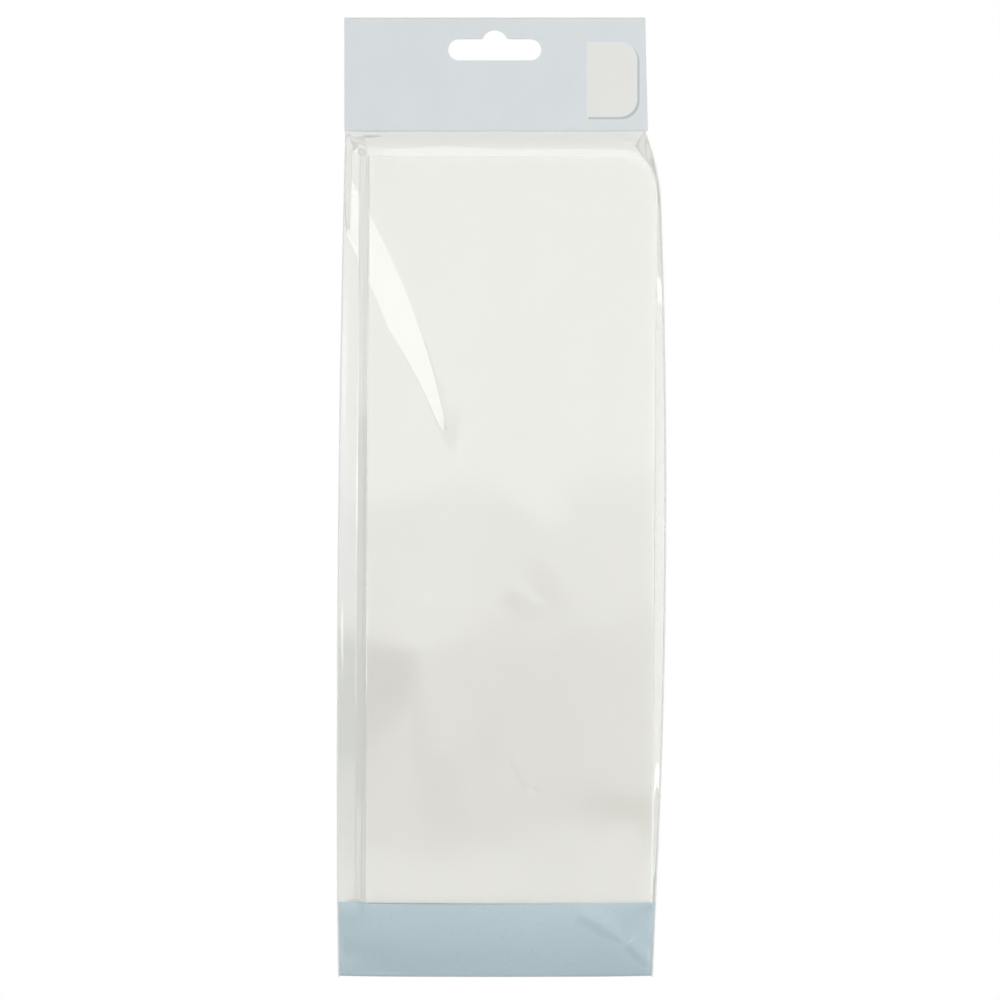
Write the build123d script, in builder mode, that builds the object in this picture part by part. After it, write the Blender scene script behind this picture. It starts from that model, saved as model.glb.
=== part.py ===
import os
from math import cos, radians, sin, tan

from build123d import *

os.makedirs("parts", exist_ok=True)

# A tall icing smoother in its hanging bag: a stiff white blade with one straight working edge,
# loose in clear film that is folded at the bottom, welded at both sides and held at the top by
# a folded card with a slot for a hook.
# Millimetres. X runs to the right, Y away from the viewer and Z up. The origin is the top of
# the hang slot, midway between the two leaves of the card.

# Blade
blade_length = 254.0
blade_width = 98.0
blade_thickness = 3.0
blade_corner_radius = 12.0  # the top corner away from the working edge
blade_edge_radius = 0.4  # the three sides that aren't the working edge
working_edge_bevel = 0.7  # on both faces
blade_offset = 5.25  # the blade's middle, to the right of the slot's
blade_lean = 0.36  # degrees, the top to the right
blade_travel = 3.0  # how far the blade can slip up in the bag

# Card
card_height = 38.5
card_thickness = 0.4
card_past_blade = 4.3  # how much wider than the blade its top is
card_flare = 0.9  # how far the right edge runs out on its way down
card_above_slot = 4.2

# Hang slot
slot_width = 31.6
slot_height = 7.35
hump_radius = 4.3
hump_rise = 3.05
hump_fillet = 0.8

# Film
film_thickness = 0.2
film_below_slot = 4.0  # the film's top inside the card, under the hang slot
film_drop_below_card = 0.6  # where the film starts to spread
neck_inset = 0.25  # the film inside the card's edges
neck_right_run = 0.5  # how far the right neck line runs out on its way down
fold_gap = 0.05  # between the two films where they are pressed flat
weld_width = 0.5
weld_thickness = 0.5
tape_thickness = 0.1
tape_height = 8.0
tape_inset = 6.0  # from the film's sides
tape_above_card_edge = 4.0

# Room in the bag
blade_to_film = 0.3  # the least gap round the blade
blade_to_band = 0.15
blade_to_card = 8.9
waist_below_card = 128.7
shoulder_below_card = 22.7
left_room_at_waist = 9.55
left_room_at_foot = 9.1
right_room_at_shoulder = 1.65
shoulder_radius = 75.0
right_room_at_waist = 4.1
right_room_at_foot = 1.35

# Band
band_height = 24.3
band_left_taper = 0.35  # how far each side comes in from the band's top to the fold
band_right_taper = 1.0

# Heights
card_top_z = card_above_slot
card_bottom_z = card_top_z - card_height
film_top_z = -hump_rise - slot_height - film_below_slot
neck_z = card_bottom_z - film_drop_below_card
shoulder_z = card_bottom_z - shoulder_below_card
waist_z = card_bottom_z - waist_below_card
lean = radians(blade_lean)
blade_middle_z = card_bottom_z - blade_to_card - blade_length / 2 * cos(lean)
blade_lowest_z = blade_middle_z - blade_length / 2 * cos(lean) - blade_width / 2 * sin(lean)
band_top_z = blade_lowest_z - blade_to_band
fold_z = band_top_z - band_height

# Depths, as distances from the middle plane between the two films
film_inner_crest = blade_thickness / 2 + blade_to_film
film_outer_crest = film_inner_crest + film_thickness
film_outer_seam = film_thickness
film_inner_seam = fold_gap
film_fold_half = film_thickness + fold_gap
card_inner_face = film_thickness + tape_thickness
card_outer_face = card_inner_face + card_thickness

# Widths
card_half_width = (blade_width + card_past_blade) / 2
neck_half_width = card_half_width - neck_inset

# The blade's own plane, which leans with it
blade_plane = Plane(
    origin=(blade_offset, 0, blade_middle_z),
    x_dir=(cos(lean), 0, -sin(lean)),
    z_dir=(0, -1, 0),
)


def blade_side_x(side, z):
    """Where the leaning blade's left (-1) or right (1) edge is at a height."""
    return blade_offset + side * blade_width / 2 + (z - blade_middle_z) * tan(lean)


def left_side(inset):
    """Points down the bag's left side, drawn in by an inset: top, neck, waist, foot and fold."""
    waist_x = blade_side_x(-1, waist_z) - left_room_at_waist
    foot_x = blade_side_x(-1, band_top_z) - left_room_at_foot
    return [
        (-neck_half_width + inset, film_top_z),
        (-neck_half_width + inset, neck_z),
        (waist_x + inset, waist_z),
        (foot_x + inset, band_top_z),
        (foot_x + band_left_taper + inset, fold_z),
    ]


def right_side(inset):
    """The same down the right side, with the shoulder between neck and waist."""
    shoulder_x = blade_side_x(1, shoulder_z) + right_room_at_shoulder
    waist_x = blade_side_x(1, waist_z) + right_room_at_waist
    foot_x = blade_side_x(1, band_top_z) + right_room_at_foot
    return [
        (neck_half_width - inset, film_top_z),
        (neck_half_width + neck_right_run - inset, neck_z),
        (shoulder_x - inset, shoulder_z),
        (waist_x - inset, waist_z),
        (foot_x - inset, band_top_z),
        (foot_x - band_right_taper - inset, fold_z),
    ]


def bag_outline(inset, depth):
    """The clear part of the bag seen from the front, at a depth in front of the middle plane."""
    _, left_neck, left_waist, left_foot, _ = left_side(inset)
    _, right_neck, shoulder, right_waist, right_foot, _ = right_side(inset)
    with BuildSketch(Plane.XZ.offset(depth)) as outline:
        with BuildLine():
            Line(left_foot, right_foot)
            ThreePointArc(right_foot, right_waist, shoulder)
            RadiusArc(shoulder, right_neck, radius=-shoulder_radius)
            Line(right_neck, left_neck)
            ThreePointArc(left_neck, left_waist, left_foot)
        make_face()
    return outline.sketch


def crest_x(side, z, wall):
    """Where the film leaves the blade's left (-1) or right (1) edge, plus a wall of film."""
    return blade_side_x(side, z) + side * (blade_to_film + wall)


def crest_outline(wall, depth):
    """What the film covers flat over the blade, its travel included: four sides and one round."""
    reach = blade_length / 2 + blade_travel + blade_to_film + wall
    radius = blade_corner_radius + blade_to_film + wall
    half_width = blade_width / 2 + blade_to_film + wall
    arc_inset = radius * (1 - cos(radians(45)))

    def on_blade(across, along):
        point = blade_plane.from_local_coords((across, along, 0))
        return (point.X, point.Z)

    left_top = on_blade(-half_width, reach)
    arc_start = on_blade(half_width - radius, reach)
    arc_middle = on_blade(half_width - arc_inset, reach - arc_inset)
    arc_end = on_blade(half_width, reach - radius)
    left_bottom = (crest_x(-1, band_top_z, wall), band_top_z)
    right_bottom = (crest_x(1, band_top_z, wall), band_top_z)
    with BuildSketch(Plane.XZ.offset(depth)) as outline:
        with BuildLine():
            Line(left_bottom, right_bottom)
            Line(right_bottom, arc_end)
            ThreePointArc(arc_end, arc_middle, arc_start)
            Line(arc_start, left_top)
            Line(left_top, left_bottom)
        make_face()
    return outline.sketch


def band_section(z, sides, wall, seam_half, crest_half):
    """The film tube cut level at a height: flat over the blade, sloping down to each side seam.

    Every section slopes alike, so the band's faces are flat and its creases run from the
    blade's lower corners to the ends of the fold.
    """
    runs = []
    for side, foot in ((-1, left_side(weld_width)[-2]), (1, right_side(weld_width)[-2])):
        slope_run = abs(crest_x(side, band_top_z, film_thickness) - foot[0])
        slope_rise = film_outer_crest - film_outer_seam
        runs.append((crest_half - seam_half) * slope_run / slope_rise)
    left, right = sides[0] + wall, sides[1] - wall
    with BuildSketch(Plane.XY.offset(z)) as section:
        with BuildLine():
            Polyline(
                (left, -seam_half),
                (left + runs[0], -crest_half),
                (right - runs[1], -crest_half),
                (right, -seam_half),
                (right, seam_half),
                (right - runs[1], crest_half),
                (left + runs[0], crest_half),
                (left, seam_half),
                close=True,
            )
        make_face()
    return section.sketch


def trace_left(inset):
    """Draws the whole left side and gives its two ends."""
    top, neck, waist, foot, fold = left_side(inset)
    Line(top, neck)
    ThreePointArc(neck, waist, foot)
    Line(foot, fold)
    return top, fold


def trace_right(inset):
    """Draws the whole right side and gives its two ends."""
    top, neck, shoulder, waist, foot, fold = right_side(inset)
    Line(top, neck)
    RadiusArc(shoulder, neck, radius=-shoulder_radius)
    ThreePointArc(shoulder, waist, foot)
    Line(foot, fold)
    return top, fold


def weld_profile(trace):
    """The strip along one side of the bag, from the film's top down to the fold."""
    with BuildSketch(Plane.XZ) as profile:
        with BuildLine():
            outer_top, outer_fold = trace(0)
            inner_top, inner_fold = trace(weld_width)
            Line(outer_top, inner_top)
            Line(outer_fold, inner_fold)
        make_face()
    return profile.sketch


# Blade
with BuildPart() as smoother_blade:
    with BuildSketch(blade_plane):
        Rectangle(blade_width, blade_length)
        hand_corner = vertices().group_by(Axis.X)[-1].sort_by(Axis.Y)[-1]
        fillet(hand_corner, radius=blade_corner_radius)
    extrude(amount=blade_thickness / 2, both=True)
    working_rims = edges().filter_by(Axis.Y, reverse=True).sort_by(Axis.X)[:2]
    chamfer(working_rims, length=working_edge_bevel)
    front_rims = edges().group_by(Axis.Y)[0].sort_by(Axis.X)[1:]
    back_rims = edges().group_by(Axis.Y)[-1].sort_by(Axis.X)[1:]
    fillet(front_rims + back_rims, radius=blade_edge_radius)
smoother_blade.part.label = "smoother_blade"

# Clear film, front and back
with BuildPart() as bag_front_panel:
    seam = weld_width
    extrude(bag_outline(seam, 0), amount=film_outer_seam)
    loft([bag_outline(seam, film_outer_seam), crest_outline(film_thickness, film_outer_crest)], ruled=True)
    lap = seam + film_thickness
    extrude(bag_outline(lap, 0), amount=film_inner_seam, mode=Mode.SUBTRACT)
    loft(
        [bag_outline(lap, film_inner_seam), crest_outline(0, film_inner_crest)],
        ruled=True,
        mode=Mode.SUBTRACT,
    )
    with BuildSketch(Plane.XZ):
        with BuildLine():
            left_top, left_neck = left_side(seam)[:2]
            right_top, right_neck = right_side(seam)[:2]
            Polyline(left_top, left_neck, right_neck, right_top, close=True)
        make_face()
    extrude(amount=film_thickness)
bag_front_panel.part.label = "bag_front_panel"

with BuildPart() as bag_back_panel:
    mirror(bag_front_panel.part, about=Plane.XZ)
bag_back_panel.part.label = "bag_back_panel"

# Printed band
with BuildPart() as printed_band:
    left_foot, left_fold = left_side(weld_width)[-2:]
    right_foot, right_fold = right_side(weld_width)[-2:]
    feet = (left_foot[0], right_foot[0])
    folds = (left_fold[0], right_fold[0])
    loft(
        [
            band_section(band_top_z, feet, 0, film_outer_seam, film_outer_crest),
            band_section(fold_z, folds, 0, film_outer_seam, film_fold_half),
        ],
        ruled=True,
    )
    loft(
        [
            band_section(band_top_z, feet, film_thickness, film_inner_seam, film_inner_crest),
            band_section(fold_z + film_thickness, folds, film_thickness, fold_gap / 2, fold_gap),
        ],
        ruled=True,
        mode=Mode.SUBTRACT,
    )
printed_band.part.label = "printed_band"

# Side welds
with BuildPart() as bag_left_weld:
    extrude(weld_profile(trace_left), amount=weld_thickness / 2, both=True)
bag_left_weld.part.label = "bag_left_weld"

with BuildPart() as bag_right_weld:
    extrude(weld_profile(trace_right), amount=weld_thickness / 2, both=True)
bag_right_weld.part.label = "bag_right_weld"

# Card, folded over the film, with the slot through both leaves
with BuildPart() as header_card:
    with BuildSketch(Plane.YZ):
        with BuildLine():
            outer_turn_z = card_top_z - card_outer_face
            for face in (card_outer_face, card_inner_face):
                Line((-face, card_bottom_z), (-face, outer_turn_z))
                ThreePointArc((-face, outer_turn_z), (0, outer_turn_z + face), (face, outer_turn_z))
                Line((face, outer_turn_z), (face, card_bottom_z))
            Line((-card_outer_face, card_bottom_z), (-card_inner_face, card_bottom_z))
            Line((card_outer_face, card_bottom_z), (card_inner_face, card_bottom_z))
        make_face()
    extrude(amount=card_half_width + card_flare, both=True)
    with BuildSketch(Plane.XZ):
        with BuildLine():
            Polyline(
                (-card_half_width, card_top_z),
                (card_half_width, card_top_z),
                (card_half_width + card_flare, card_bottom_z),
                (-card_half_width, card_bottom_z),
                close=True,
            )
        make_face()
    extrude(amount=card_outer_face, both=True, mode=Mode.INTERSECT)
    with BuildSketch(Plane.XZ) as hang_slot:
        with Locations((0, -hump_rise - slot_height / 2)):
            SlotOverall(slot_width, slot_height)
        with Locations((0, -hump_radius)):
            Circle(hump_radius)
        hump_feet = hang_slot.vertices().group_by(Axis.Y)[-1].sort_by(lambda v: abs(v.X))[:2]
        fillet(hump_feet, radius=hump_fillet)
    extrude(amount=card_outer_face, both=True, mode=Mode.SUBTRACT)
header_card.part.label = "header_card"

# Adhesive strips between the card's leaves and the film
with BuildPart() as header_front_tape:
    tape_z = card_bottom_z + tape_above_card_edge + tape_height / 2
    with BuildSketch(Plane.XZ.offset(film_thickness)):
        with Locations((0, tape_z)):
            Rectangle(2 * (neck_half_width - tape_inset), tape_height)
    extrude(amount=tape_thickness)
header_front_tape.part.label = "header_front_tape"

with BuildPart() as header_back_tape:
    mirror(header_front_tape.part, about=Plane.XZ)
header_back_tape.part.label = "header_back_tape"

for piece in (
    smoother_blade,
    bag_front_panel,
    bag_back_panel,
    printed_band,
    bag_left_weld,
    bag_right_weld,
    header_card,
    header_front_tape,
    header_back_tape,
):
    export_step(piece.part, f"parts/{piece.part.label}.step")
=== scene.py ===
"""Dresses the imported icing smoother: the blade, its clear film bag, the printed band and the card."""

from math import cos, exp, hypot, pi, radians, sin, tau

import bmesh
import bpy
from bpy.props import FloatProperty, FloatVectorProperty, PointerProperty
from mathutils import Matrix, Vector, geometry, noise


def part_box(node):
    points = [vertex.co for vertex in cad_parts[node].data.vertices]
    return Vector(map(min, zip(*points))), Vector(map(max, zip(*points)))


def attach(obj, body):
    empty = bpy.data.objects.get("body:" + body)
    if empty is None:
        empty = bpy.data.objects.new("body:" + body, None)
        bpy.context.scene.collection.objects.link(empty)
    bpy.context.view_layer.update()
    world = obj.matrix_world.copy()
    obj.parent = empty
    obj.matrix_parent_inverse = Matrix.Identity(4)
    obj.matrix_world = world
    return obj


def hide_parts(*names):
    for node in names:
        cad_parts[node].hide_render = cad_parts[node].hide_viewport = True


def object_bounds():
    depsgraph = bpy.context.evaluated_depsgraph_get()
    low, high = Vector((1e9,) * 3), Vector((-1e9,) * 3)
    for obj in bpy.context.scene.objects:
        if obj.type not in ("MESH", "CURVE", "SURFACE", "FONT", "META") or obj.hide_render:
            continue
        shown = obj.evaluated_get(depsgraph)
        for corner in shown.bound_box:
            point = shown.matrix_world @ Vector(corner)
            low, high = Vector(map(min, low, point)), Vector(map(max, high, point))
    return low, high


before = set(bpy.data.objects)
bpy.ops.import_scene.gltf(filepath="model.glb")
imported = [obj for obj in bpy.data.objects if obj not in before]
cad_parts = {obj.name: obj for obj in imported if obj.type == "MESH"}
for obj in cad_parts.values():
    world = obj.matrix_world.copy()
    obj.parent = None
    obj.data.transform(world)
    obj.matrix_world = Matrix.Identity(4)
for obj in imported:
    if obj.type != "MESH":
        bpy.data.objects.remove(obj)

bl_info = {
    "name": "Bagged Icing Smoother",
    "version": (1, 0, 0),
    "blender": (4, 5, 0),
    "location": "3D View > Sidebar > Smoother",
    "description": "Makes the film bag, printed band, card and blade finishes of a bagged icing smoother",
    "category": "Add Mesh",
}

MM = 0.001
solid_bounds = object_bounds()

blade_low, blade_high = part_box("smoother_blade")
card_low, card_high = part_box("header_card")
film_low, film_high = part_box("bag_front_panel")
band_low, band_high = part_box("printed_band")


def length(label, about, default):
    return FloatProperty(name=label, description=about, default=default, unit="LENGTH", precision=5)


def colour(label, about, default):
    return FloatVectorProperty(
        name=label, description=about, default=default, subtype="COLOR", size=4, min=0, max=1
    )


class PackSizes(bpy.types.PropertyGroup):
    """Sizes of the film, the card and the blade that it hangs with."""

    film_thickness: length("Film thickness", "How thick the clear film is drawn", 0.1 * MM)
    film_crest: length("Film crest", "From the middle plane to the film over the blade", 1.86 * MM)
    film_seam: length("Film seam", "From the middle plane to the film beside the welds", 0.1 * MM)
    film_drop: length("Film drop", "Beside the blade, how far the front film takes to come down", 2.8 * MM)
    neck_drop: length("Neck drop", "How far under the card the film starts to spread", 0.6 * MM)
    blade_width: length("Blade width", "Across the blade", 98 * MM)
    blade_length: length("Blade length", "Along the blade", 254 * MM)
    blade_corner: length("Blade corner", "Radius of the blade's round top corner", 12 * MM)
    blade_travel: length("Blade travel", "How far the blade can slip up in the bag", 3 * MM)
    blade_lean: FloatProperty(
        name="Blade lean", description="The blade's lean to the right", default=radians(0.36), subtype="ANGLE"
    )


class PackColours(bpy.types.PropertyGroup):
    """Colours of the prints, the plastics and the board, as the shaders take them."""

    blade_white: colour("Blade white", "The blade's plastic", (0.775, 0.765, 0.725, 1))
    film_tint: colour("Film tint", "What one face of the film lets through", (0.985, 0.987, 0.982, 1))
    back_film_tint: colour("Back film tint", "What the rear film's face lets through", (0.95, 0.96, 0.955, 1))
    film_haze: colour("Film haze", "The milky part of the film", (0.9, 0.91, 0.9, 1))
    band_blue: colour("Band blue", "The print on the band", (0.495, 0.618, 0.67, 1))
    card_blue: colour("Card blue", "The print on the card", (0.735, 0.795, 0.82, 1))
    board_white: colour("Board white", "The card's unprinted board", (0.82, 0.815, 0.79, 1))
    strip_cream: colour("Strip cream", "The adhesive strips", (0.85, 0.84, 0.78, 1))
    badge_cream: colour("Badge cream", "The blank panel printed on the card", (0.84, 0.85, 0.81, 1))


# Shader building


class Socket:
    """A shader output that takes Python's arithmetic, so that a pattern reads as a formula."""

    def __init__(self, finish, output):
        self.finish = finish
        self.output = output

    def maths(self, operation, *others):
        return self.finish.node("Math", {"operation": operation}, dict(enumerate((self, *others))))

    def __add__(self, other):
        return self.maths("ADD", other)

    __radd__ = __add__

    def __mul__(self, other):
        return self.maths("MULTIPLY", other)

    __rmul__ = __mul__

    def __sub__(self, other):
        return self.maths("SUBTRACT", other)

    def __rsub__(self, other):
        return self.finish.node("Math", {"operation": "SUBTRACT"}, {0: other, 1: self})

    def __pow__(self, other):
        return self.maths("POWER", other)

    def __abs__(self):
        return self.maths("ABSOLUTE")

    def above(self, start, end):
        """0 up to start and 1 from end on, smooth between them."""
        limits = {"Value": self, "From Min": start, "From Max": end}
        return self.finish.node("MapRange", {"interpolation_type": "SMOOTHSTEP"}, limits)

    def largest(self, other):
        return self.maths("MAXIMUM", other)

    def smallest(self, other):
        return self.maths("MINIMUM", other)


class Finish:
    """One node tree being filled; node() adds any node and hands back one of its outputs."""

    def __init__(self, tree):
        self.tree = tree
        self.tree.nodes.clear()

    def node(self, kind, settings=None, inputs=None, output=0):
        made = self.tree.nodes.new("ShaderNode" + kind)
        for name, value in (settings or {}).items():
            setattr(made, name, value)
        for name, value in (inputs or {}).items():
            if isinstance(value, Socket):
                self.tree.links.new(value.output, made.inputs[name])
            else:
                made.inputs[name].default_value = value
        return Socket(self, made.outputs[output]) if made.outputs else None

    def place(self, stretch=(1, 1, 1), turn=0):
        """The spot on the object, turned round Y and then stretched."""
        spot = self.node("TexCoord", output="Object")
        inputs = {"Vector": spot, "Scale": stretch, "Rotation": (0, turn, 0)}
        return self.node("Mapping", {"vector_type": "POINT"}, inputs)

    def parts(self, vector):
        split = self.node("SeparateXYZ", inputs={"Vector": vector})
        outputs = split.output.node.outputs
        return [Socket(self, outputs[axis]) for axis in "XYZ"]

    def speckle(self, spot, scale, detail=2.0, roughness=0.5, distortion=0.0):
        inputs = {
            "Vector": spot,
            "Scale": scale,
            "Detail": detail,
            "Roughness": roughness,
            "Distortion": distortion,
        }
        return self.node("TexNoise", {"noise_dimensions": "3D"}, inputs)

    def blend(self, share, first, second):
        """A colour between two, by a share."""
        return self.node("Mix", {"data_type": "RGBA"}, {0: share, 6: first, 7: second}, output=2)

    def relief(self, height, strength, depth):
        return self.node("Bump", inputs={"Height": height, "Strength": strength, "Distance": depth})

    def surface(self, shader):
        self.node("OutputMaterial", inputs={"Surface": shader})


def new_finish(name):
    made = bpy.data.materials.new(name)
    made.use_nodes = True
    return made, Finish(made.node_tree)


def toned(shade, share):
    """A colour made darker by a share."""
    return (*(share * part for part in shade[:3]), 1)


FACE_ON_GLOSS = 0.047  # how much one face of the film reflects when it is seen square on


def clear_film(name, tint, haze_colour, haze, rough):
    """Thin clear plastic: mostly see-through, a little milky, with a mirror-like gloss."""
    made, film = new_finish(name)
    fine = film.speckle(film.place((1, 1, 0.35)), 160, detail=3, roughness=0.55)
    clouds = film.speckle(film.place((1, 1, 0.6), radians(30)), 22, detail=3, roughness=0.6)
    normal = film.relief(fine, 0.04, 0.1 * MM)
    milk_share = haze * (0.7 + 0.6 * clouds)
    facing = film.node("LayerWeight", inputs={"Blend": 0.5}, output="Facing")
    gloss_share = FACE_ON_GLOSS + (1 - FACE_ON_GLOSS) * facing**5
    see_through = film.node("BsdfTransparent", inputs={"Color": tint})
    milk = film.node(
        "BsdfPrincipled",
        inputs={"Base Color": haze_colour, "Roughness": 0.6, "Specular IOR Level": 0.0, "Normal": normal},
    )
    shine = film.node(
        "BsdfAnisotropic", inputs={"Color": (1, 1, 1, 1), "Roughness": rough, "Normal": normal}
    )
    body = film.node("MixShader", inputs={0: milk_share, 1: see_through, 2: milk})
    film.surface(film.node("MixShader", inputs={0: gloss_share, 1: body, 2: shine}))
    return made


def printed_film(name, ink):
    """Clear film with a flat pale ink on it, creased here and there, its ink painted darker towards the fold
    as shade.
    """
    made, film = new_finish(name)
    creases = film.speckle(film.place((0.5, 1, 1.6), radians(-25)), 60, distortion=0.4)
    fine = film.speckle(film.place(), 900, detail=2)
    ink_depth = film.speckle(film.place((1, 1, 3)), 35, detail=3)
    normal = film.relief(creases * 0.8 + fine * 0.01, 0.4, 0.5 * MM)
    up = film.parts(film.place())[2]
    # Painted shade: the ink is drawn darker towards the fold at the bottom, where less light falls on the
    # film.
    painted_fold_shade = film.blend(up.above(band_low.z - 4 * MM, band_high.z), toned(ink, 0.84), ink)
    shade = film.blend(ink_depth.above(0.3, 0.7) * 0.5, painted_fold_shade, toned(ink, 0.94))
    rough = 0.24 + 0.1 * fine
    skin = film.node(
        "BsdfPrincipled",
        inputs={"Base Color": shade, "Roughness": rough, "IOR": 1.5, "Normal": normal},
    )
    film.surface(skin)
    return made


def weld_plastic(name, tint):
    """The hard clear bead that the hot cutter leaves."""
    made, bead = new_finish(name)
    lumps = bead.speckle(bead.place((1, 1, 0.5)), 1400, detail=2)
    normal = bead.relief(lumps, 0.5, 0.1 * MM)
    skin = bead.node(
        "BsdfPrincipled",
        inputs={
            "Base Color": tint,
            "Roughness": 0.2 + 0.2 * lumps,
            "Alpha": 0.5 + 0.3 * lumps,
            "Normal": normal,
        },
    )
    bead.surface(skin)
    return made


def blade_plastic(name, white):
    """Moulded white plastic with a low sheen, a faint grain and a few rub marks."""
    made, plastic = new_finish(name)
    flow = plastic.speckle(plastic.place((1, 1, 0.25)), 14, detail=3, roughness=0.5)
    grain = plastic.speckle(plastic.place(), 1500, detail=2)
    rubs = plastic.speckle(plastic.place((6, 1, 0.5), radians(8)), 55, detail=4, roughness=0.65)
    tone = plastic.blend(flow.above(0.3, 0.75), toned(white, 0.975), white)
    rough = 0.3 + 0.08 * rubs + 0.05 * grain
    normal = plastic.relief(grain + 0.6 * rubs, 0.12, 0.05 * MM)
    skin = plastic.node(
        "BsdfPrincipled",
        inputs={
            "Base Color": tone,
            "Roughness": rough,
            "IOR": 1.49,
            "Subsurface Weight": 0.8,
            "Subsurface Radius": (1, 1, 1),
            "Subsurface Scale": 4 * MM,
            "Normal": normal,
        },
    )
    plastic.surface(skin)
    return made


PANEL_MIDDLE = (39.85 * MM, -16.85 * MM)
PANEL_HALF = (8.55 * MM, 12.75 * MM)
PANEL_CORNER = 6.1 * MM


def panel_gap(across, up, drop=0.0):
    """Distance outside the card's blank panel, whose right-hand corners are round; 0 inside it."""
    corner = PANEL_CORNER * across.above(PANEL_MIDDLE[0], PANEL_MIDDLE[0] + 0.1 * MM)
    beside = abs(across - (PANEL_MIDDLE[0] + drop)) - PANEL_HALF[0] + corner
    above = abs(up - (PANEL_MIDDLE[1] - drop)) - PANEL_HALF[1] + corner
    return (beside.largest(0) ** 2 + above.largest(0) ** 2) ** 0.5 - corner


def printed_board(name, ink, board, panel):
    """Thin coated board, printed on its faces and left white at its cut edges."""
    made, card = new_finish(name)
    spot = card.place()
    across, through, up = card.parts(spot)
    fibres = card.speckle(card.place((1, 1, 3)), 900, detail=4, roughness=0.65)
    mottle = card.speckle(spot, 60, detail=3)
    ink_starts, ink_ends = 0.66 * MM, 0.69 * MM
    printed = abs(through).above(ink_starts, ink_ends)
    front = 1 - through.above(-ink_ends, -ink_starts)
    ink_tone = card.blend(mottle.above(0.3, 0.7), toned(ink, 0.975), ink)
    in_shadow = front * (1 - panel_gap(across, up, 0.7 * MM).above(0, 0.2 * MM))
    in_panel = front * (1 - panel_gap(across, up).above(0, 0.1 * MM))
    paneled = card.blend(in_panel, card.blend(in_shadow, ink_tone, toned(ink, 0.66)), panel)
    fibre_tone = card.blend(fibres * 0.25, paneled, board)
    tone = card.blend(printed, board, fibre_tone)
    normal = card.relief(fibres, 0.15, 0.05 * MM)
    skin = card.node(
        "BsdfPrincipled",
        inputs={"Base Color": tone, "Roughness": 0.42 + 0.12 * fibres, "IOR": 1.45, "Normal": normal},
    )
    card.surface(skin)
    return made


def adhesive_strip(name, cream):
    """Double-sided tape."""
    made, strip = new_finish(name)
    threads = strip.speckle(strip.place((1, 1, 8)), 700, detail=3)
    tone = strip.blend(threads, toned(cream, 0.93), cream)
    normal = strip.relief(threads, 0.3, 0.05 * MM)
    skin = strip.node(
        "BsdfPrincipled", inputs={"Base Color": tone, "Roughness": 0.5 + 0.2 * threads, "Normal": normal}
    )
    strip.surface(skin)
    return made


# The shape of the bag


class Outline:
    """The bag's two sides, read off the solids at even heights."""

    def __init__(self, names, low, high, steps=640):
        self.low = low
        self.step = (high - low) / steps
        self.rows = [None] * (steps + 1)
        for name in names:
            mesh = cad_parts[name].data
            for edge in mesh.edges:
                self.cross(*(mesh.vertices[i].co for i in edge.vertices))
        known = [row for row in self.rows if row]
        self.rows[0] = self.rows[0] or known[0]
        self.rows[-1] = self.rows[-1] or known[-1]
        for index, row in enumerate(self.rows):
            self.rows[index] = row or self.rows[index - 1]

    def cross(self, start, end):
        if start.z > end.z:
            start, end = end, start
        if end.z - start.z < 1e-9:
            return
        first = max(0, int((start.z - self.low) / self.step) + 1)
        last = min(len(self.rows) - 1, int((end.z - self.low) / self.step))
        for index in range(first, last + 1):
            share = (self.low + index * self.step - start.z) / (end.z - start.z)
            x = start.x + (end.x - start.x) * min(max(share, 0), 1)
            row = self.rows[index]
            self.rows[index] = (min(row[0], x), max(row[1], x)) if row else (x, x)

    def sides(self, z):
        """The left and right side at a height."""
        where = min(max((z - self.low) / self.step, 0), len(self.rows) - 1.001)
        index = int(where)
        share = where - index
        lower, upper = self.rows[index], self.rows[index + 1]
        return tuple(a + (b - a) * share for a, b in zip(lower, upper))


def smooth(value):
    value = min(max(value, 0), 1)
    return value * value * (3 - 2 * value)


STEEP_SHARE = 0.88  # how much of the fall from the blade to the weld is beside the blade's edge
RIPPLES = ((0.1 * MM, 24), (0.02 * MM, 80))  # height and scale


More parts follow.
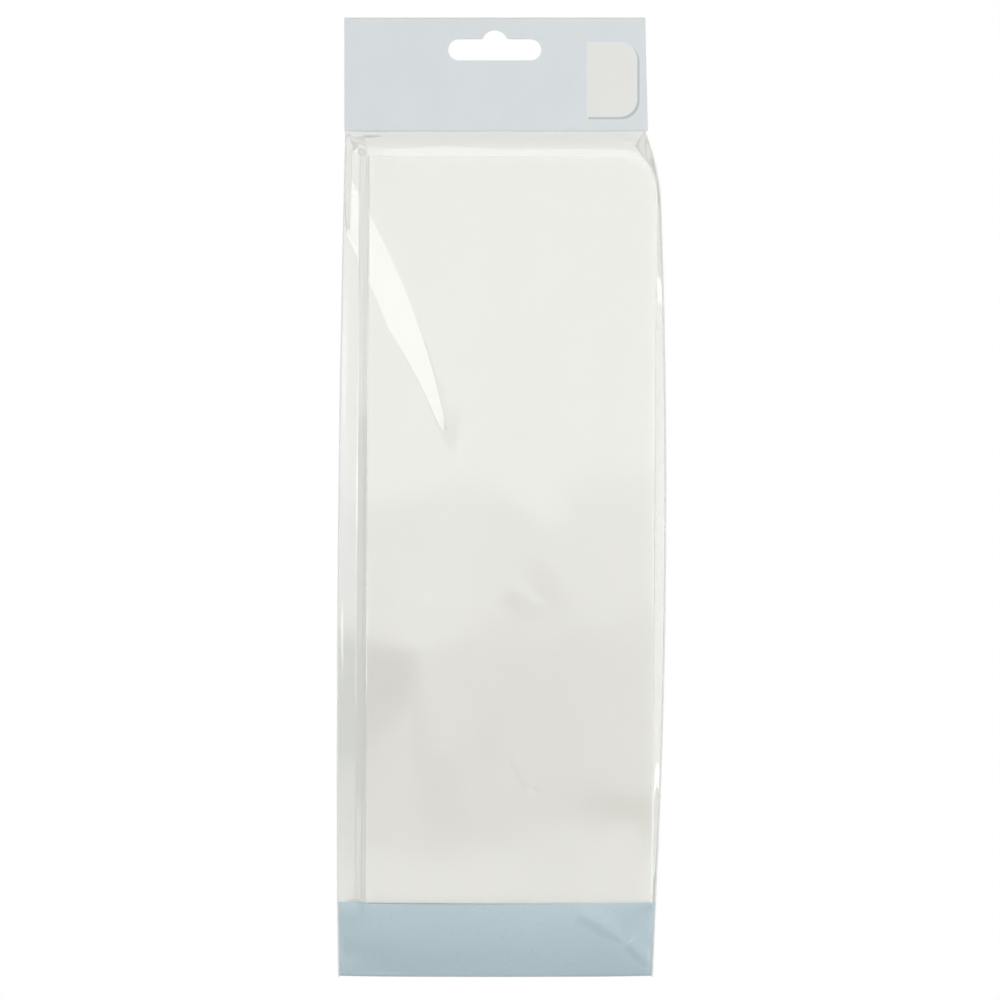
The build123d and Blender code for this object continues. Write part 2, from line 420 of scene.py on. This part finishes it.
class Film:
    """How far the film stands from the bag's middle plane, anywhere on the bag."""

    def __init__(self, sizes, outline, folds, ripple_seed, cling):
        self.sizes = sizes
        self.cling = cling
        self.outline = outline
        self.folds = folds
        self.seed = Vector((ripple_seed, 0, 0))
        self.middle = (blade_low + blade_high) / 2
        self.neck = card_low.z - sizes.neck_drop
        self.fold_line = band_low.z

    def blade_spot(self, x, z):
        """How far a point is across and along the leaning blade, from its middle."""
        lean = self.sizes.blade_lean
        right, up = x - self.middle.x, z - self.middle.z
        return right * cos(lean) - up * sin(lean), right * sin(lean) + up * cos(lean)

    def outside_blade(self, x, z):
        """Distance outside the blade's outline, its travel included; negative over the blade."""
        sizes = self.sizes
        travel = sizes.blade_travel
        across, along = self.blade_spot(x, z)
        along -= travel / 2
        corner = sizes.blade_corner if across > 0 and along > 0 else 0
        over_side = abs(across) - sizes.blade_width / 2 + corner
        over_end = abs(along) - (sizes.blade_length + travel) / 2 + corner
        return hypot(max(over_side, 0), max(over_end, 0)) + min(max(over_side, over_end), 0) - corner

    def beside_blade(self, x, z):
        """1 beside the blade, 0 beyond its ends, and between them round its corners."""
        across, along = self.blade_spot(x, z)
        beside = max(abs(across) - self.sizes.blade_width / 2, 0)
        beyond = max(abs(along) - self.sizes.blade_length / 2, 0)
        return smooth(beside / (beside + beyond + 1e-6))

    def inside_bag(self, x, z):
        """Distance in from the welds, the fold and the neck under the card, rounded in the corners."""
        left, right = self.outline.sides(z)
        gaps = (x - left, right - x, self.neck - z, z - self.fold_line)
        if min(gaps) < 1e-6:
            return 0
        return sum(gap**-4 for gap in gaps) ** -0.25

    def drape(self, x, z):
        """The film pulled taut from the blade's edges to the welds, and rounder at the bag's two ends.

        A film that clings drops steeply beside the blade and lies flat up to the weld.
        """
        crest, seam = self.sizes.film_crest, self.sizes.film_seam
        out = max(self.outside_blade(x, z), 0)
        width = out + self.inside_bag(x, z) + 1e-9
        fall = out / width
        near_top = smooth((z - blade_high.z) / (3 * MM))
        near_fold = smooth((blade_low.z + 2 * MM - z) / (3 * MM))
        near_print = smooth((band_high.z + 2 * MM - z) / (7 * MM))
        roundness = 0.05 + 0.8 * max(near_top, near_fold)
        taut = fall * fall / (fall + roundness) * (1 + roundness)
        room = smooth((width - 4 * MM) / (3 * MM))
        clings = self.cling * room * (1 - near_print) * self.beside_blade(x, z)
        steep = 1 - (1 - min(out / self.sizes.film_drop, 1)) ** 1.3
        dropped = STEEP_SHARE * steep + (1 - STEEP_SHARE) * fall
        return crest - (crest - seam) * (taut + (dropped - taut) * clings)

    def lift(self, x, z):
        """The drape with its folds and ripples, which die out at the welds."""
        room = smooth(self.inside_bag(x, z) / (2 * MM))
        if room == 0:
            return self.drape(x, z)
        raised = sum(fold.lift(x, z) for fold in self.folds)
        spot = Vector((x, 0, z * 0.7)) + self.seed
        ripples = sum(height * noise.noise(spot * scale) for height, scale in RIPPLES)
        return self.drape(x, z) + room * (raised + ripples)


class Swell:
    """A broad soft rise or hollow in the film, in millimetres."""

    def __init__(self, x, z, wide, high, rise, turn=0):
        self.x, self.z = x * MM, z * MM
        self.wide, self.high = wide * MM, high * MM
        self.rise = rise * MM
        self.turn = radians(turn)

    def lift(self, x, z):
        dx, dz = x - self.x, z - self.z
        across = (dx * cos(self.turn) + dz * sin(self.turn)) / self.wide
        along = (dz * cos(self.turn) - dx * sin(self.turn)) / self.high
        far = across * across + along * along
        return self.rise * exp(-far) if far < 9 else 0


# The last part of a pleat that narrows, and the parts over which its height dies out and comes up.
PLEAT_TAPER, PLEAT_END, PLEAT_START = 0.4, 0.12, 0.08


class Pleat:
    """A crease in the film along a curve, in millimetres, steep on one side and gentle on the other.

    The curve has a start, two handles and an end. Going along it the steep side is on the right.
    Both sides narrow to nothing over the last part, and the height dies out at both ends.
    """

    def __init__(self, curve, steep, gentle, slope, taper=0.8):
        bend = [Vector((x * MM, z * MM)) for x, z in curve]
        self.points = [tuple(point)[:2] for point in geometry.interpolate_bezier(*bend, 24)]
        self.steep, self.gentle = steep * MM, gentle * MM
        self.slope, self.taper = slope, taper
        reach = max(self.steep, self.gentle)
        xs, zs = zip(*self.points)
        self.box = (min(xs) - reach, max(xs) + reach, min(zs) - reach, max(zs) + reach)

    def lift(self, x, z):
        x_low, x_high, z_low, z_high = self.box
        if not (x_low < x < x_high and z_low < z < z_high):
            return 0
        nearest, along, on_steep = self.steep + self.gentle, 0, True
        runs = len(self.points) - 1
        for index, ((ax, az), (bx, bz)) in enumerate(zip(self.points, self.points[1:])):
            dx, dz = bx - ax, bz - az
            share = min(max(((x - ax) * dx + (z - az) * dz) / (dx * dx + dz * dz), 0), 1)
            far = hypot(x - ax - share * dx, z - az - share * dz)
            if far < nearest:
                nearest, along = far, (index + share) / runs
                on_steep = dx * (z - az) < dz * (x - ax)
        narrowed = min((1 - along) / PLEAT_TAPER, 1) ** self.taper
        shown = smooth((1 - along) / PLEAT_END) * smooth(along / PLEAT_START)
        height = self.slope * self.steep * narrowed * shown
        if on_steep:
            return height * max(1 - nearest / (self.steep * narrowed + 1e-9), 0)
        return height * (1 - smooth(nearest / (self.gentle * narrowed + 1e-9)))


# Mesh building


def keep(name, shape, finish, body, replaced):
    """Turns a finished bmesh into a piece of the object."""
    mesh = bpy.data.meshes.new(name)
    shape.to_mesh(mesh)
    shape.free()
    mesh.shade_smooth()
    mesh.set_sharp_from_angle(angle=radians(50))
    mesh.materials.append(finish)
    piece = bpy.data.objects.new(name, mesh)
    bpy.context.collection.objects.link(piece)
    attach(piece, body)
    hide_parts(*replaced)
    return piece


def spread(share):
    """Draws grid columns closer together towards both sides."""
    return share - 0.5 * sin(tau * share) / tau


def print_edge(share):
    """The height of the print's top edge, which hangs a little in the middle of the bag."""
    return band_high.z + 0.5 * MM + 0.7 * MM * (2 * share - 1) ** 2


def film_panel(film, side, columns, rows):
    """A grid laid over the bag from the print up, front (-1) or back (1), with its thickness."""
    shape = bmesh.new()
    bmesh.ops.create_grid(shape, x_segments=columns, y_segments=rows, size=0.5)
    for vert in shape.verts:
        low = print_edge(vert.co.x + 0.5)
        z = low + (vert.co.y + 0.5) * (film_high.z - low)
        left, right = film.outline.sides(z)
        x = left + spread(vert.co.x + 0.5) * (right - left)
        vert.co = (x, side * film.lift(x, z), z)
    if side > 0:
        bmesh.ops.reverse_faces(shape, faces=shape.faces[:])
    shape.normal_update()
    bmesh.ops.solidify(shape, geom=shape.faces[:], thickness=film.sizes.film_thickness)
    return shape


def pack_outline():
    return Outline(("bag_front_panel", "printed_band"), band_low.z, film_high.z)


# A pleat's curve, steep side, gentle side, slope and taper; a swell's middle, reach, rise and turn.
FRONT_FOLDS = (
    Pleat([(-56, -37), (-38, -70), (-20, -102), (-14.4, -147)], 10.5, 22, 0.1, 0.9),
    Pleat([(-38, -36), (-22, -38), (-8, -40), (12, -42.5)], 1.6, 4, 0.1),
    Pleat([(-13.2, -112), (-12.6, -135), (-10.5, -160), (-9.5, -184)], 1.5, 4, 0.1),
    Pleat([(13.8, -259), (11.5, -254), (8.5, -250), (5.5, -245.5)], 1, 3, 0.06),
    Pleat([(-17, -199), (-30, -189), (-38, -182), (-46, -175)], 1.5, 9, 0.03),
    Pleat([(17, -197), (10.5, -191), (6, -187.5), (1, -183)], 1.5, 10, 0.035),
    Pleat([(29, -62.5), (21, -60.5), (15, -58.5), (9, -57.5)], 1.5, 4.5, 0.035),
    Pleat([(9.8, -59), (10, -56), (10, -53), (9.9, -50)], 0.9, 2, 0.045),
    Swell(-34, -160, 12, 26, 0.3),
    Swell(-28, -215, 14, 26, 0.35),
    Swell(42, -262, 14, 16, 0.12),
    Swell(14, -170, 9, 20, 0.25, 20),
)

BACK_FOLDS = (Swell(-46, -120, 12, 40, 0.4), Swell(40, -220, 20, 40, 0.4))

BAND_FOLDS = (
    Pleat([(28, -300), (34, -303), (39, -306), (45, -311)], 3, 6, 0.12),
    Pleat([(45, -310), (48, -313), (51, -316), (55, -320)], 2.5, 5, 0.14),
    Swell(-44, -316, 14, 5, -0.35, -10),
)


class SMOOTHER_OT_clear_film(bpy.types.Operator):
    """Lays the front and back film over the blade"""

    bl_idname = "smoother.clear_film"
    bl_label = "Clear Film"

    def execute(self, context):
        sizes, colours = context.scene.pack_sizes, context.scene.pack_colours
        outline = pack_outline()
        front_tint, back_tint = colours.film_tint, colours.back_film_tint
        panels = (
            ("front_film", -1, FRONT_FOLDS, 3, "bag_front_panel", front_tint, (0.02, 0.06), (160, 300)),
            ("back_film", 1, BACK_FOLDS, 11, "bag_back_panel", back_tint, (0.1, 0.3), (110, 200)),
        )
        for name, side, folds, seed, node, tint, (haze, rough), cells in panels:
            film = Film(sizes, outline, folds, seed, cling=side < 0)
            shape = film_panel(film, side, *cells)
            finish = clear_film(name + "_plastic", tint, colours.film_haze, haze, rough)
            piece = keep(name, shape, finish, "bag", [node])
        return {"FINISHED"}


class SMOOTHER_OT_printed_band(bpy.types.Operator):
    """Folds the printed bottom of the film under the blade"""

    bl_idname = "smoother.printed_band"
    bl_label = "Printed Band"

    def execute(self, context):
        sizes, colours = context.scene.pack_sizes, context.scene.pack_colours
        outline = pack_outline()
        films = {side: Film(sizes, outline, BAND_FOLDS, 3, cling=side < 0) for side in (-1, 1)}
        shape = bmesh.new()
        bmesh.ops.create_grid(shape, x_segments=160, y_segments=96, size=0.5)
        for vert in shape.verts:
            share, down = vert.co.x + 0.5, vert.co.y * 2
            side = -1 if down > 0 else 1
            fold = band_low.z + 0.4 * MM * (2 * share - 1) ** 2
            z = fold + abs(down) * (print_edge(share) - fold)
            left, right = outline.sides(z)
            x = left + spread(share) * (right - left)
            vert.co = (x, side * (films[side].lift(x, z) if down else 0), z)
        shape.normal_update()
        bmesh.ops.solidify(shape, geom=shape.faces[:], thickness=sizes.film_thickness)
        finish = printed_film("band_print", colours.band_blue)
        piece = keep("band_film", shape, finish, "bag", ["printed_band"])
        return {"FINISHED"}


class SMOOTHER_OT_side_welds(bpy.types.Operator):
    """Gives the side welds their plastic"""

    bl_idname = "smoother.side_welds"
    bl_label = "Side Welds"

    def execute(self, context):
        finish = weld_plastic("weld_bead", context.scene.pack_colours.film_haze)
        for node in ("bag_left_weld", "bag_right_weld"):
            dress(node, finish)
        return {"FINISHED"}


class SMOOTHER_OT_header_card(bpy.types.Operator):
    """Prints the header card and gives the adhesive strips their finish"""

    bl_idname = "smoother.header_card"
    bl_label = "Header Card"

    def execute(self, context):
        colours = context.scene.pack_colours
        card = printed_board("card_print", colours.card_blue, colours.board_white, colours.badge_cream)
        dress("header_card", card)
        strip = adhesive_strip("strip_tape", colours.strip_cream)
        for node in ("header_front_tape", "header_back_tape"):
            dress(node, strip)
        return {"FINISHED"}


class SMOOTHER_OT_blade(bpy.types.Operator):
    """Gives the blade its white plastic"""

    bl_idname = "smoother.blade"
    bl_label = "Blade"

    def execute(self, context):
        dress("smoother_blade", blade_plastic("blade_white", context.scene.pack_colours.blade_white))
        return {"FINISHED"}


def dress(node, finish):
    """Gives a carried-over solid a finish in every slot it has."""
    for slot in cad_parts[node].material_slots:
        slot.material = finish


# Stage


LAMP_LEVEL = 0.83  # all the lamps together


def soft_light(name, at, aim, width, height, radiance):
    """A rectangular lamp that looks as bright as a white surface lit to that radiance."""
    lamp = bpy.data.lights.new(name, "AREA")
    lamp.shape = "RECTANGLE"
    lamp.size = width
    lamp.size_y = height
    lamp.energy = LAMP_LEVEL * radiance * pi * width * height
    holder = bpy.data.objects.new(name, lamp)
    holder.location = at
    holder.rotation_euler = (Vector(aim) - Vector(at)).to_track_quat("-Z", "Y").to_euler()
    bpy.context.collection.objects.link(holder)
    return holder


# Lamps square to the pack, which the flat film mirrors: name, place, width, height, radiance.
FACING_LAMPS = (
    ("front_softbox", (0, -1.75, 0.025), 1.0, 0.35, 2.6),
    ("waist_softbox", (0, -1.74, -0.2), 1.0, 0.1, 1.9),
    ("middle_softbox", (0.14, -1.75, -0.3075), 0.32, 0.115, 1.1),
    ("middle_low_softbox", (-0.005, -1.75, -0.38), 0.11, 0.06, 1.0),
    ("middle_edge_softbox", (-0.045, -1.75, -0.325), 0.05, 0.15, 0.5),
    ("low_left_softbox", (-0.2, -1.74, -0.38), 0.28, 0.06, 1.0),
    ("low_softbox", (0, -1.75, -0.49), 1.0, 0.16, 1.7),
    ("upper_softbox", (0, -1.75, 0.65), 0.9, 0.9, 1.8),
    ("streak_lamp", (-0.37, -1.72, -0.105), 0.2, 0.09, 1.7),
    ("low_streak_lamp", (-0.37, -1.72, -0.215), 0.2, 0.13, 2.5),
    ("streak_foot_lamp", (-0.37, -1.72, -0.3), 0.2, 0.04, 4.3),
    ("margin_streak_lamp", (-0.63, -1.72, -0.1), 0.3, 0.16, 3.6),
    ("back_softbox", (0, 1.75, 0.2), 1.9, 1.14, 1.75),
)

# Lamps round the pack, aimed at its middle.
ROUND_LAMPS = (
    ("top_softbox", (0, -1.15, 1.25), 0.9, 1.0, 2.0),
    ("right_softbox", (1.0, -0.65, -0.16), 1.0, 0.56, 3.6),
    ("side_softbox", (1.2, 0.05, -0.16), 0.8, 0.56, 2.5),
    ("left_softbox", (-1.0, -0.9, 0.1), 1.0, 0.4, 2.0),
    ("left_side_softbox", (-1.2, -0.1, 0.1), 0.7, 0.4, 2.0),
    ("left_waist_softbox", (-1.0, -0.88, -0.17), 1.0, 0.14, 0.7),
    ("left_low_softbox", (-1.0, -0.9, -0.42), 1.0, 0.16, 1.2),
    ("high_left_softbox", (-0.9, -1.2, 0.9), 0.8, 0.8, 1.2),
    ("high_right_softbox", (0.9, -1.2, 0.9), 0.8, 0.8, 1.3),
    ("shoulder_softbox", (1.5, -0.5, 0.7), 0.8, 0.8, 1.6),
)


def white_room():
    """A world that looks white, but pale grey behind anything clear, and lights the object softly."""
    world = bpy.data.worlds.new("white_room")
    bpy.context.scene.world = world
    world.use_nodes = True
    room = Finish(world.node_tree)
    rays = room.node("LightPath").output.node.outputs
    eye, depth = (Socket(room, rays[kind]) for kind in ("Is Camera Ray", "Transparent Depth"))
    seen = eye
    for kind in ("Is Glossy Ray", "Is Transmission Ray"):
        seen = seen.largest(Socket(room, rays[kind]))
    ambient = 0.05
    strength = ambient + (1 - ambient) * seen
    through_film = eye * depth.smallest(1)
    behind_film = (0.605, 0.595, 0.56, 1)
    shade = room.blend(through_film, (1, 1, 1, 1), behind_film)
    sky = room.node("Background", inputs={"Color": shade, "Strength": strength})
    room.node("OutputWorld", inputs={"Surface": sky})


def pale_floor():
    """A pale round floor below the pack. From above, its clear edge shows as a grey ring."""
    radius, drop = 0.75, 0.09
    shape = bmesh.new()
    bmesh.ops.create_circle(shape, cap_ends=True, segments=96, radius=radius)
    bmesh.ops.translate(shape, verts=shape.verts[:], vec=(0, 0, solid_bounds[0].z - drop))
    mesh = bpy.data.meshes.new("pale_floor")
    shape.to_mesh(mesh)
    shape.free()
    floor = bpy.data.objects.new("pale_floor", mesh)
    bpy.context.collection.objects.link(floor)
    made, ground = new_finish("floor_paint")
    across, along, _ = ground.parts(ground.place())
    out = (across * across + along * along) ** 0.5
    seen = ground.node("LightPath", output="Is Camera Ray")
    paint = ground.node("BsdfPrincipled", inputs={"Base Color": (0.86, 0.86, 0.86, 1), "Roughness": 0.9})
    glow = ground.node("Emission", inputs={"Strength": 0.25 * seen})
    lit = ground.node("AddShader", inputs={0: paint, 1: glow})
    clear = ground.node("BsdfTransparent")
    edge = out.above(0.55 * radius, 0.98 * radius)
    ground.surface(ground.node("MixShader", inputs={0: edge, 1: lit, 2: clear}))
    mesh.materials.append(made)


class SMOOTHER_OT_stage(bpy.types.Operator):
    """Sets the camera, the soft lights, the white room and the floor"""

    bl_idname = "smoother.stage"
    bl_label = "Stage"

    def execute(self, context):
        scene = context.scene
        scene.view_settings.view_transform = "Standard"
        middle_x, middle_z = 1.77 * MM, -159.8 * MM
        eye = bpy.data.cameras.new("eye")
        eye.sensor_width = 36
        distance, field = 1.6, 0.34
        eye.lens = eye.sensor_width * distance / field
        camera = bpy.data.objects.new("eye", eye)
        camera.location = (middle_x, -distance, middle_z)
        camera.rotation_euler = (pi / 2, 0, 0)
        context.collection.objects.link(camera)
        scene.camera = camera
        for name, at, width, height, radiance in FACING_LAMPS:
            soft_light(name, at, (at[0], 0, at[2]), width, height, radiance)
        for name, at, width, height, radiance in ROUND_LAMPS:
            soft_light(name, at, (0, 0, -0.15), width, height, radiance)
        white_room()
        pale_floor()
        return {"FINISHED"}


class SMOOTHER_PT_panel(bpy.types.Panel):
    bl_idname = "SMOOTHER_PT_panel"
    bl_label = "Bagged Icing Smoother"
    bl_space_type = "VIEW_3D"
    bl_region_type = "UI"
    bl_category = "Smoother"

    def draw(self, context):
        for maker in MAKERS:
            self.layout.operator(maker.bl_idname)
        for group in (context.scene.pack_sizes, context.scene.pack_colours):
            box = self.layout.box()
            for name in group.__annotations__:
                box.prop(group, name)


MAKERS = (
    SMOOTHER_OT_stage,
    SMOOTHER_OT_blade,
    SMOOTHER_OT_clear_film,
    SMOOTHER_OT_printed_band,
    SMOOTHER_OT_side_welds,
    SMOOTHER_OT_header_card,
)
CLASSES = (PackSizes, PackColours, *MAKERS, SMOOTHER_PT_panel)


def register():
    for one in CLASSES:
        bpy.utils.register_class(one)
    bpy.types.Scene.pack_sizes = PointerProperty(type=PackSizes)
    bpy.types.Scene.pack_colours = PointerProperty(type=PackColours)


def unregister():
    del bpy.types.Scene.pack_colours
    del bpy.types.Scene.pack_sizes
    for one in reversed(CLASSES):
        bpy.utils.unregister_class(one)


def main():
    register()
    bpy.ops.smoother.stage()
    bpy.ops.smoother.blade()
    bpy.ops.smoother.clear_film()
    bpy.ops.smoother.printed_band()
    bpy.ops.smoother.side_welds()
    bpy.ops.smoother.header_card()


if __name__ == "__main__":
    main()
